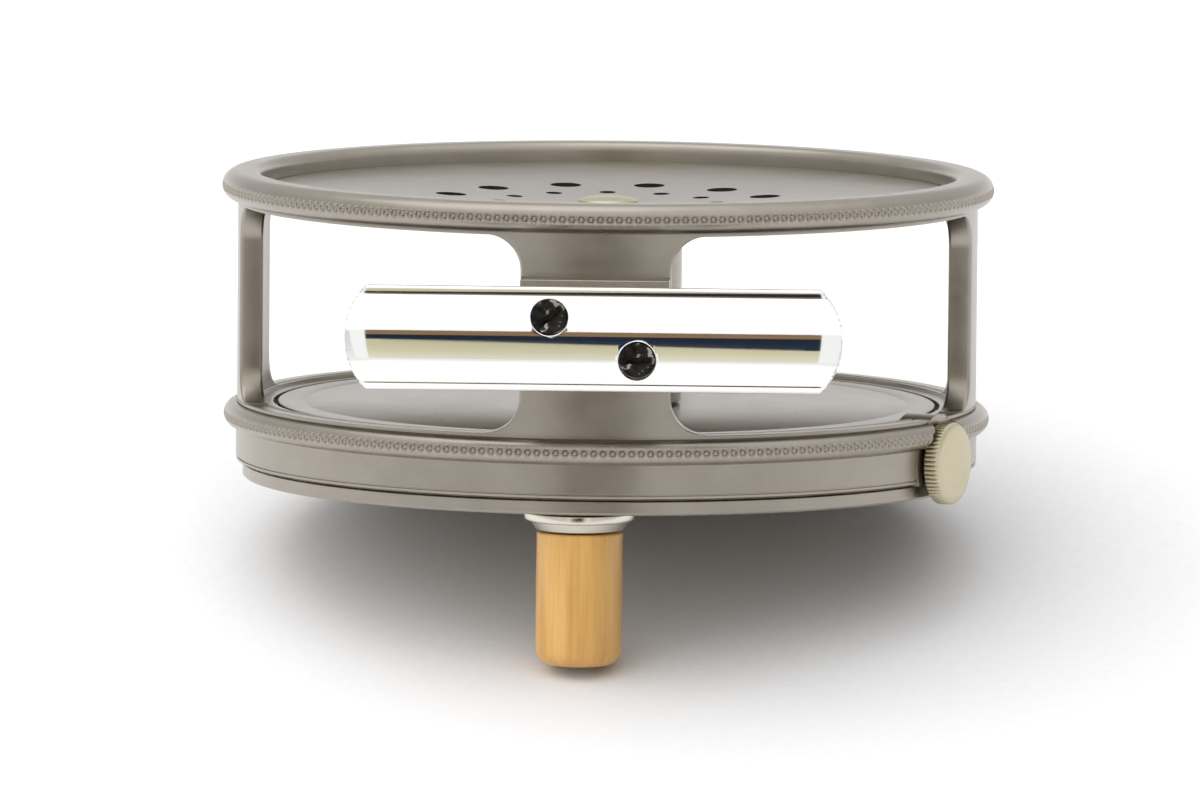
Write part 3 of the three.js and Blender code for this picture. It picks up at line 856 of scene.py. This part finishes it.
# ---- Regulator ----
def regulator_knob():
    """A coin-shaped knob with straight knurling and a flat face."""
    back, face = 48.95, 51.1
    thick = face - back
    radius, teeth, depth = 5.4, 56, 0.22
    samples = 8
    count = teeth * samples
    # Height above the back, inset from the full radius, and share of the knurl's depth.
    profile = ((0, 0.55, 0), (0, 0.25, 0.5), (0.2, 0, 1), (thick - 0.55, 0, 1),
               (thick - 0.38, 0.07, 0.9), (thick - 0.22, 0.22, 0.5), (thick - 0.12, 0.45, 0.12),
               (thick - 0.05, 0.9, 0), (thick, 1.6, 0), (thick, 3.0, 0), (thick, 4.4, 0))
    rows = []
    for height, inset, knurl in profile:
        row = []
        for k in range(count):
            wave = abs(math.sin(math.pi * k / samples))
            r = radius - inset - depth * knurl * (1 - wave ** 0.7)
            row.append((*polar(r, 360 * k / count), height))
        rows.append(row)
    knob = loft("regulator_knob_turned", rows, 40)
    place(knob, KNOB_LEVEL + KNOB_AXIS * back, KNOB_AXIS)
    return finish_piece(knob, "regulator", MATERIALS["nickel_silver"], "nickel_silver", "regulator_knob")


# ---- Drum ----
def winding_plate():
    """The face plate: a raised edge ring, a shallow recessed field and a raised hub."""
    rim_top = 1.65
    hub_top = PLATE_HIGH.z
    outline = rounded([
        (BORE, 1.3),
        (5.3, 1.3),
        (5.3, 0, 0.12),
        (9.0, 0, 0.1),
        (9.2, 0.18, 0.1),
        (44.6, 0.18, 0.1),
        (44.8, 0, 0.1),
        (PLATE_R - 0.3, 0, 0.12),
        (PLATE_R, 0.3, 0.12),
        (PLATE_R, rim_top + 0.13, 0.06),
        (PLATE_R - 0.22, rim_top + 0.15),
        (PLATE_R - 0.3, rim_top + 0.25, 0.03),
        (45.2, rim_top + 0.25),
        (45.0, rim_top),
        (8, rim_top, 0.1),
        (8, hub_top, 0.2),
        (BORE, hub_top),
    ])
    plate = lathe("winding_plate_turned", outline, 360)
    below, above = (Vector((HANDLE_AT.x, HANDLE_AT.y, z)) for z in (-3, 4))
    hole = bar("post_hole", POST_HOLE_R, below, above, 64)
    boolean(plate, "DIFFERENCE", hole, solver="MANIFOLD")
    return drum_piece(even_normals(plate), "anodised_aluminium", "winding_plate")


def plate_lock_screw():
    """A flush head with two spanner holes."""
    head_r, head, shank_r, end = 5.0, 1.0, 1.6, 6.0
    outline = rounded([
        (0, 0),
        (head_r, 0, 0.2),
        (head_r, head, 0.08),
        (shank_r, head),
        (shank_r, end - 0.2),
        (shank_r - 0.3, end),
        (0, end),
    ])
    screw = lathe("plate_lock_screw_turned", outline, 96)
    holes = [bar("spanner_hole", 0.6, (x, 0, -1), (x, 0, 0.6), 32) for x in (-3.4, 3.4)]
    boolean(screw, "DIFFERENCE", *holes)
    return drum_piece(even_normals(screw), "nickel_silver", "plate_lock_screw")


def front_flange():
    """A thin disc with one fine turned line near its edge."""
    low, high = FRONT_FLANGE_LOW.z, FRONT_FLANGE_HIGH.z
    radius = FRONT_FLANGE_HIGH.x
    line = 39.7
    outline = rounded([
        (BORE, low), (radius, low, 0.1), (radius, high, 0.16),
        (line + 0.12, high), (line, high - 0.07), (line - 0.12, high),
        (12, high), (BORE, high),
    ])
    return drum_piece(lathe("front_flange_turned", outline, 360), "anodised_aluminium", "front_flange")


def hole_ring(ring):
    """Cutters for one ring of round holes through the rear flange."""
    count, radius, circle, first = ring
    places = [polar(circle, first + 360 / count * k) for k in range(count)]
    return [bar("hole", radius, (x, y, 30), (x, y, 41), 48) for x, y in places]


def rear_flange():
    """A dished disc with two rings of holes round the spindle."""
    radius, top = REAR_FLANGE_HIGH.x + 0.12, REAR_FLANGE_HIGH.z
    thick, dish = 1.1, 2.0
    edge = radius - 2
    outline = rounded([
        (BORE, top - dish - thick), (edge, top - thick), (radius, top - thick, 0.1),
        (radius, top, 0.1), (edge, top, 0.6), (BORE, top - dish),
    ])
    disc = lathe("rear_flange_turned", outline, 360)
    holes = hole_ring(LARGE_HOLES) + hole_ring(SMALL_HOLES)
    boolean(disc, "DIFFERENCE", *holes, solver="MANIFOLD")
    drum_piece(even_normals(disc), "anodised_aluminium", "rear_flange")
    # Painted shade: the hole walls get the near-black skin, which stands in for the shadow and dark
    # reflection inside the holes.
    disc.data.materials.append(MATERIALS["painted_hole_shade"])
    for face in disc.data.polygons:
        among_holes = 6 * MM < face.center.xy.length < 28 * MM
        if among_holes and abs(face.normal.z) < 0.5:
            face.material_index = 1
    return disc


def arbor():
    """The line drum's core, with a small fillet at each flange."""
    low, high, radius = ARBOR_LOW.z, ARBOR_HIGH.z, ARBOR_HIGH.x
    outline = rounded([(BORE, low), (radius, low, 0.3), (radius, high, 0.3), (BORE, high)])
    return drum_piece(lathe("arbor_turned", outline, 120), "anodised_aluminium", "arbor")


def spindle_cap():
    """The low domed cap over the spindle's end."""
    low, high, radius = CAP_LOW.z, CAP_HIGH.z, CAP_HIGH.x
    dome = arc((0, low + 0.25), (radius, high - low - 0.25), 8, 90, 16)
    outline = [(0, low), (radius - 0.1, low), (radius, low + 0.1), *dome[:-1], (0, high)]
    return drum_piece(lathe("spindle_cap_turned", outline, 96), "nickel_silver", "spindle_cap")


# ---- Handle ----
def on_handle(obj):
    """Puts a piece made about the Z axis on the handle's axis."""
    return place(obj, (HANDLE_AT.x, HANDLE_AT.y, 0))


def handle_ferrule():
    """A flanged collar that the grip turns against."""
    disc_r = (FERRULE_HIGH.x - FERRULE_LOW.x) / 2
    foot = FERRULE_LOW.z
    outline = rounded([
        (POST_HOLE_R, -FIT), (disc_r, -FIT, 0.15), (disc_r, -1.35, 0.35), (6.6, -1.5, 0.05),
        (6.45, -1.52), (5.75, foot, 0.15), (POST_HOLE_R, foot),
    ])
    ferrule = on_handle(lathe("handle_ferrule_turned", outline, 120))
    drum_piece(ferrule, "nickel_silver", "handle_ferrule")
    ferrule.data.materials[0] = MATERIALS["bright_nickel"]
    return ferrule


def handle_grip():
    """A plain turned grip with a rounded end, countersunk for its screw."""
    top, end = GRIP_HIGH.z, GRIP_LOW.z
    radius = (GRIP_HIGH.x - GRIP_LOW.x) / 2
    sink_r, sink = 3.4, end + 1.7
    outline = rounded([
        (POST_HOLE_R, top), (radius - 0.05, top, 0.35), (radius, (top + end) / 2),
        (radius - 0.02, end, 2.2), (sink_r, end, 0.15), (sink_r, sink), (POST_HOLE_R, sink),
    ])
    grip = on_handle(lathe("handle_grip_turned", outline, 144, 40))
    return finish_piece(grip, "handle", MATERIALS["boxwood"], "boxwood", "handle_grip")


def handle_end_screw():
    """The slotted screw that holds the grip on its post."""
    low, high = node_box("handle_end_screw")
    outline = rounded([
        (0, low.z), (3.1, low.z, 0.2), (3.1, low.z + 1, 0.08),
        (1.0, low.z + 1), (1.0, high.z - 0.2), (0.8, high.z), (0, high.z),
    ])
    screw = lathe("handle_end_screw_turned", outline, 96)
    boolean(screw, "DIFFERENCE", block("slot", (-4, -0.35, low.z - 1), (4, 0.35, low.z + 0.45)))
    return drum_piece(on_handle(soften(screw, 0.05)), "nickel_silver", "handle_end_screw")


# ---- CAD nodes that stay: the check, the ball race and the spindle ----
BRONZE_NODES = ("spindle_bush", "ball_retainer", "spring_slide")


def dress_cad_nodes():
    """Gives the CAD nodes that still show a node material: bronze for three, ground steel for the rest."""
    for name, node in frame["nodes"].items():
        if node.hide_render:
            continue
        metal = "bronze" if name in BRONZE_NODES else "bright_steel"
        for material_slot in node.material_slots:
            material_slot.material = MATERIALS[metal]


# ---- Stage: table, lights and what the polished foot mirrors ----
def table():
    """A pale seamless table, touching the grip's end and the plate's far edge."""
    mesh = bpy.data.meshes.new("table")
    corners = [(x * TABLE_REACH, y * TABLE_REACH, 0) for x, y in ((-1, -1), (1, -1), (1, 1), (-1, 1))]
    mesh.from_pydata(corners, [], [(0, 1, 2, 3)])
    obj = link(bpy.data.objects.new("table", mesh))
    obj.location = Vector((0, PLATE_R + TABLE_GAP, -TABLE_GAP)) * MM
    obj.rotation_euler = (math.radians(TABLE_TILT), 0, 0)
    skin = Surface("table_paper", 0.75, 0.0)
    fibre = skin.noise(skin.stretched_place(0.6, 0.6, 0.6), detail=4)
    skin.feed("Base Color", skin.ramp(fibre, (0.3, (0.90, 0.90, 0.91)), (0.7, (0.93, 0.93, 0.935))))
    skin.feed("Normal", skin.bump(fibre, 0.1, 0.02))
    mesh.materials.append(skin.material)
    return obj


def card(name, points, colours, foot):
    """A glowing card that only mirrors see, its colours running from its foot to its top."""
    mesh = bpy.data.meshes.new(name)
    mesh.from_pydata([(x, 0, z) for x, z in points], [], [tuple(range(len(points)))])
    obj = link(bpy.data.objects.new(name, mesh))
    obj.location = foot
    obj.rotation_euler = (math.radians(TABLE_TILT), 0, 0)
    for flag in ("visible_camera", "visible_diffuse", "visible_shadow", "visible_transmission"):
        setattr(obj, flag, False)
    skin = Surface(name, 0.5, 0.0)
    skin.nodes.remove(skin.shader)
    low, high = min(z for _, z in points), max(z for _, z in points)
    height = skin.add("ShaderNodeSeparateXYZ", {0: skin.place()}).outputs[2]
    level = skin.add("ShaderNodeMapRange", {0: height, 1: low, 2: high}).outputs[0]
    ramp = skin.ramp(level, *((k / (len(colours) - 1), colour) for k, colour in enumerate(colours)))
    light = skin.add("ShaderNodeEmission", {"Color": ramp})
    skin.links.new(light.outputs[0], skin.nodes["Material Output"].inputs["Surface"])
    mesh.materials.append(skin.material)


def upright(left, right, foot, top):
    """Corners of an upright rectangle, as (x, z)."""
    return [(left, foot), (right, foot), (right, top), (left, top)]


def mirrored_room():
    """What stands before the reel, from the table up: brown, navy and khaki, with white at the sides."""
    distance = 1.8
    front = -FOOT_LIP_Y * MM - distance
    foot = (0, front, math.tan(math.radians(TABLE_TILT)) * (front - PLATE_R * MM))
    far_left, left, right, far_right = (math.tan(math.radians(a)) * distance for a in (-25, -15, 11, 25))
    navy_foot, ceiling = 0.21, 1.62
    left_top, right_top = 0.44, 0.81
    slant = [(-0.114, left_top), (-0.01, right_top)]
    navy = [(left, navy_foot), (right, navy_foot), (right, right_top), *reversed(slant), (left, left_top)]
    khaki = [(left, left_top), *slant, (right, right_top), (right, ceiling), (left, ceiling)]
    white = ((0.95, 0.95, 0.95), (0.97, 0.97, 0.96))
    card("brown_card", upright(left, right, 0, navy_foot), ((0.23, 0.14, 0.075), (0.29, 0.18, 0.095)), foot)
    card("navy_card", navy, ((0.014, 0.022, 0.040), (0.018, 0.028, 0.052)), foot)
    card("khaki_card", khaki, ((0.55, 0.52, 0.36), (0.66, 0.61, 0.42), (0.80, 0.77, 0.66)), foot)
    card("left_card", upright(far_left, left, 0, ceiling), white, foot)
    card("right_card", upright(right, far_right, 0, ceiling), white, foot)


def softbox(name, aim, away, width, depth, power):
    """A large soft light facing the reel, unseen by the camera."""
    lamp = bpy.data.lights.new(name, "AREA")
    lamp.shape = "RECTANGLE"
    lamp.size, lamp.size_y = width, depth
    lamp.energy = power
    obj = link(bpy.data.objects.new(name, lamp))
    obj.location = Vector(aim) + Vector(away)
    obj.rotation_mode = "QUATERNION"
    obj.rotation_quaternion = (-Vector(away)).to_track_quat("-Z", "Y")
    obj.visible_camera = False
    return obj


def studio_world():
    """The camera sees white, metal mirrors the surroundings, and dull surfaces get the window's light."""
    world = bpy.data.worlds.new("studio")
    bpy.context.scene.world = world
    world.use_nodes = True
    nodes, links = world.node_tree.nodes, world.node_tree.links
    out = nodes["World Output"]
    seen = nodes["Background"]
    seen.inputs[0].default_value = (1, 1, 1, 1)
    around = nodes.new("ShaderNodeBackground")
    place_in = nodes.new("ShaderNodeTexCoord")
    upward = nodes.new("ShaderNodeVectorMath")
    upward.operation = "DOT_PRODUCT"
    tilt = math.radians(TABLE_TILT)
    upward.inputs[1].default_value = (0, -math.sin(tilt), math.cos(tilt))
    links.new(place_in.outputs["Generated"], upward.inputs[0])
    level = nodes.new("ShaderNodeMapRange")
    level.inputs[1].default_value = -1
    links.new(upward.outputs["Value"], level.inputs[0])
    ramp = nodes.new("ShaderNodeValToRGB")
    set_stops(ramp, SURROUNDINGS)
    links.new(level.outputs[0], ramp.inputs[0])
    links.new(ramp.outputs[0], around.inputs[0])
    fill = window_light(nodes, links, place_in.outputs["Generated"])
    ray = nodes.new("ShaderNodeLightPath")
    lit = nodes.new("ShaderNodeMixShader")
    links.new(ray.outputs["Is Diffuse Ray"], lit.inputs[0])
    links.new(around.outputs[0], lit.inputs[1])
    links.new(fill.outputs[0], lit.inputs[2])
    mix = nodes.new("ShaderNodeMixShader")
    links.new(ray.outputs["Is Camera Ray"], mix.inputs[0])
    links.new(lit.outputs[0], mix.inputs[1])
    links.new(seen.outputs[0], mix.inputs[2])
    links.new(mix.outputs[0], out.inputs[0])


def window_light(nodes, links, direction):
    """Broad daylight from the front left, which gives the table its one-sided soft shadow."""
    towards = nodes.new("ShaderNodeVectorMath")
    towards.operation = "DOT_PRODUCT"
    towards.inputs[1].default_value = WINDOW_FROM
    links.new(direction, towards.inputs[0])
    level = nodes.new("ShaderNodeMapRange")
    level.interpolation_type = "SMOOTHSTEP"
    level.inputs[1].default_value, level.inputs[2].default_value = -0.1, 1.0
    level.inputs[3].default_value, level.inputs[4].default_value = WINDOW_LOW, WINDOW_HIGH
    links.new(towards.outputs["Value"], level.inputs[0])
    fill = nodes.new("ShaderNodeBackground")
    links.new(level.outputs[0], fill.inputs[1])
    return fill


def camera():
    """A long lens a little above the reel's own planes, seeing it from the foot side."""
    azimuth, elevation, roll = (math.radians(a) for a in (1.8, 5.855, 0.52))
    distance = 2.0
    level_away = Vector((math.sin(azimuth), -math.cos(azimuth), 0))
    away = level_away * math.cos(elevation) + Vector((0, 0, math.sin(elevation)))
    right = Vector((math.cos(azimuth), math.sin(azimuth), 0))
    up = away.cross(right)
    axis_point = Vector((0, 0, 7.906)) * MM
    aim = axis_point - right * 0.84 * MM + up * 2.31 * MM
    lens = bpy.data.cameras.new("camera")
    lens.lens = 455
    lens.sensor_width = 36
    lens.clip_start, lens.clip_end = 0.05, 60
    obj = link(bpy.data.objects.new("camera", lens))
    obj.location = axis_point + away * distance
    look = (aim - obj.location).to_track_quat("-Z", "Y")
    obj.rotation_mode = "QUATERNION"
    obj.rotation_quaternion = look @ Quaternion((0, 0, 1), roll)
    bpy.context.scene.camera = obj


def build():
    """Makes every piece of the reel."""
    front_housing()
    rear_rim()
    front_beading()
    rear_beading()
    support("bridge", -90, BRIDGE_HALF)
    support("pillar_right", 0, PILLAR_HALF)
    support("pillar_back", 90, BACK_PILLAR_HALF)
    support("pillar_left", 180, PILLAR_HALF)
    saddle()
    rod_foot()
    foot_screw("foot_screw_left", 40)
    foot_screw("foot_screw_right", 3)
    regulator_knob()
    winding_plate()
    plate_lock_screw()
    front_flange()
    rear_flange()
    arbor()
    spindle_cap()
    handle_ferrule()
    handle_grip()
    handle_end_screw()
    dress_cad_nodes()


build()
table()
mirrored_room()
softbox("overhead", (0, 0, 0.02), (-0.30, 0.0, 1.25), 1.1, 1.1, 2.5)
studio_world()
camera()
bpy.context.scene.view_settings.view_transform = "Standard"
